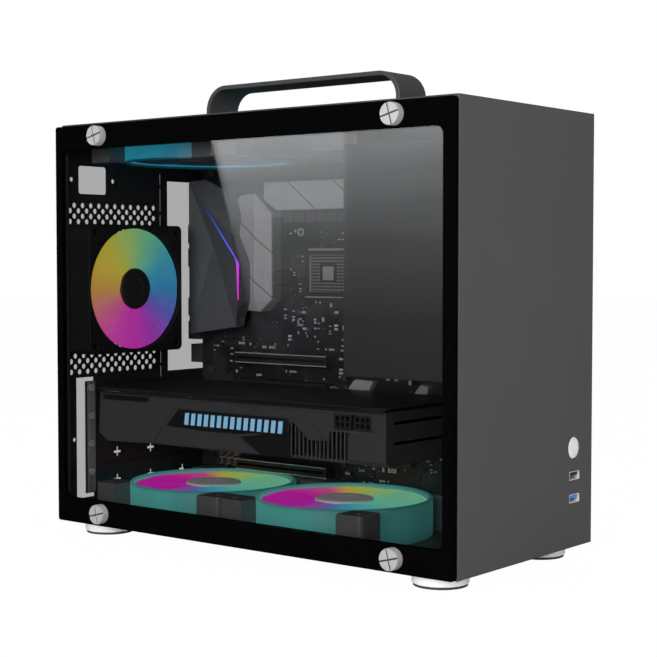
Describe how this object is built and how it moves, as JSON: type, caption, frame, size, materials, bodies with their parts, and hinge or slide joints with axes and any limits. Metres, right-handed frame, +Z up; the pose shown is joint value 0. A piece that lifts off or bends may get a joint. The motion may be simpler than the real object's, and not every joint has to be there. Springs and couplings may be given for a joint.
{
  "type": "small desktop computer case",
  "caption": "Compact desktop computer case with a tinted glass side on thumbscrews, a strap handle, round feet, lit fans, a motherboard, a graphics card and a power supply.",
  "frame": {"origin": "under the middle of the case, on the surface that it stands on", "axes": "+X towards the front face with the power button, +Y away from the glass side, +Z up"},
  "size_m": [0.3376, 0.17, 0.315],
  "materials": {
    "front_paint": "fine satin powder coat, dark grey",
    "shell_paint": "fine satin powder coat, dark grey",
    "inner_paint": "satin black coat",
    "tinted_glass": "polished, grey tint with a black printed border",
    "gasket_rubber": "matt",
    "plated_steel": "turned, plated",
    "handle_paint": "satin coat",
    "pad_rubber": "matt",
    "black_screws": "satin black",
    "silver_button": "fine turned",
    "circuit_board": "solder mask over glass weave",
    "connector_shell": "pressed sheet",
    "fan_plastic": "fine moulded texture",
    "blade_plastic": "translucent, lit from the hub and rim",
    "psu_paint": "satin coat",
    "black_plastic": "fine moulded texture",
    "card_plastic": "satin moulded",
    "card_plate": "black anodised, brushed",
    "fin_metal": "stamped fins",
    "light_plastic": "smooth, translucent",
    "bracket_steel": "satin",
    "sink_metal": "brushed",
    "choke_metal": "satin grey",
    "foot_metal": "satin turned"
  },
  "bodies": {
    "case": {"front_panel": "front_paint", "top_panel": "shell_paint", "bottom_panel": "shell_paint", "rear_panel": "inner_paint", "right_side_panel": "shell_paint", "motherboard_tray": "inner_paint", "panel_nuts": "plated_steel", "handle": "handle_paint", "foot_pads": "pad_rubber", "case_screws": "black_screws", "front_io_board": "circuit_board", "usb_port_upper": "connector_shell", "usb_port_lower": "connector_shell", "rear_fan_frame": "fan_plastic", "fan_screws": "black_screws", "psu_housing": "psu_paint", "psu_bracket": "inner_paint", "gpu_shroud": "card_plastic", "gpu_board": "circuit_board", "gpu_backplate": "card_plate", "gpu_heatsink": "fin_metal", "gpu_power_sockets": "black_plastic", "gpu_light_panel": "light_plastic", "gpu_bracket": "bracket_steel", "slot_covers": "inner_paint", "slot_screws": "plated_steel", "motherboard": "circuit_board", "board_standoffs": "plated_steel", "io_cover": "card_plastic", "io_ports": "connector_shell", "vrm_heatsink_left": "sink_metal", "vrm_heatsink_top": "sink_metal", "cpu_socket": "bracket_steel", "pcie_slots": "black_plastic", "dimm_slots": "black_plastic", "board_parts": "choke_metal", "foot_rear_near": "foot_metal", "foot_rear_far": "foot_metal", "foot_front_near": "foot_metal", "foot_front_far": "foot_metal", "bottom_fan_frame_rear": "fan_plastic", "top_fan_frame_rear": "fan_plastic", "bottom_fan_frame_front": "fan_plastic", "top_fan_frame_front": "fan_plastic"},
    "glass": {"glass_panel": "tinted_glass", "glass_gasket": "gasket_rubber"},
    "button": {"power_button": "silver_button"},
    "rear_fan": {"rear_fan_rotor": "blade_plastic"},
    "bottom_rear_fan": {"bottom_fan_rotor_rear": "blade_plastic"},
    "bottom_front_fan": {"bottom_fan_rotor_front": "blade_plastic"},
    "top_rear_fan": {"top_fan_rotor_rear": "blade_plastic"},
    "top_front_fan": {"top_fan_rotor_front": "blade_plastic"},
    "card_rear_fan": {"gpu_fan_rear": "black_plastic"},
    "card_front_fan": {"gpu_fan_front": "black_plastic"},
    "supply_fan": {"psu_fan_rotor": "black_plastic"},
    "screw_rear_top": {"thumbscrew_rear_top": "plated_steel"},
    "screw_front_top": {"thumbscrew_front_top": "plated_steel"},
    "screw_rear_bottom": {"thumbscrew_rear_bottom": "plated_steel"},
    "screw_front_bottom": {"thumbscrew_front_bottom": "plated_steel"}
  },
  "joints": [
    {"name": "glass_slide", "type": "slide", "parent": "case", "child": "glass", "axis": [0, -1, 0], "range_m": [0, 0.05]},
    {"name": "power_button_press", "type": "slide", "parent": "case", "child": "button", "axis": [-1, 0, 0], "range_m": [0, 0.0012], "stiffness_N_per_m": 800, "springref_m": -0.0005},
    {"name": "rear_fan_spin", "type": "hinge", "parent": "case", "child": "rear_fan", "pos_m": [-0.16625, -0.02665, 0.1724], "axis": [1, 0, 0], "continuous": true},
    {"name": "bottom_rear_fan_spin", "type": "hinge", "parent": "case", "child": "bottom_rear_fan", "pos_m": [-0.09625, 0.00505, 0.009], "axis": [0, 0, 1], "continuous": true},
    {"name": "bottom_front_fan_spin", "type": "hinge", "parent": "case", "child": "bottom_front_fan", "pos_m": [0.02405, 0.00505, 0.009], "axis": [0, 0, 1], "continuous": true},
    {"name": "top_rear_fan_spin", "type": "hinge", "parent": "case", "child": "top_rear_fan", "pos_m": [-0.09965, 0.00505, 0.287], "axis": [0, 0, -1], "continuous": true},
    {"name": "top_front_fan_spin", "type": "hinge", "parent": "case", "child": "top_front_fan", "pos_m": [0.02065, 0.00505, 0.287], "axis": [0, 0, -1], "continuous": true},
    {"name": "card_rear_fan_spin", "type": "hinge", "parent": "case", "child": "card_rear_fan", "pos_m": [-0.10925, 0.0074, 0.0796], "axis": [0, 0, -1], "continuous": true},
    {"name": "card_front_fan_spin", "type": "hinge", "parent": "case", "child": "card_front_fan", "pos_m": [-0.02525, 0.0074, 0.0796], "axis": [0, 0, -1], "continuous": true},
    {"name": "supply_fan_spin", "type": "hinge", "parent": "case", "child": "supply_fan", "pos_m": [0.10395, 0.00635, 0.1924], "axis": [-1, 0, 0], "continuous": true},
    {"name": "screw_rear_top_turn", "type": "hinge", "parent": "glass", "child": "screw_rear_top", "pos_m": [-0.12375, -0.07895, 0.2783], "axis": [0, -1, 0], "continuous": true},
    {"name": "screw_front_top_turn", "type": "hinge", "parent": "glass", "child": "screw_front_top", "pos_m": [0.12675, -0.07895, 0.2783], "axis": [0, -1, 0], "continuous": true},
    {"name": "screw_rear_bottom_turn", "type": "hinge", "parent": "glass", "child": "screw_rear_bottom", "pos_m": [-0.12375, -0.07895, 0.0172], "axis": [0, -1, 0], "continuous": true},
    {"name": "screw_front_bottom_turn", "type": "hinge", "parent": "glass", "child": "screw_front_bottom", "pos_m": [0.12675, -0.07895, 0.0172], "axis": [0, -1, 0], "continuous": true}
  ]
}
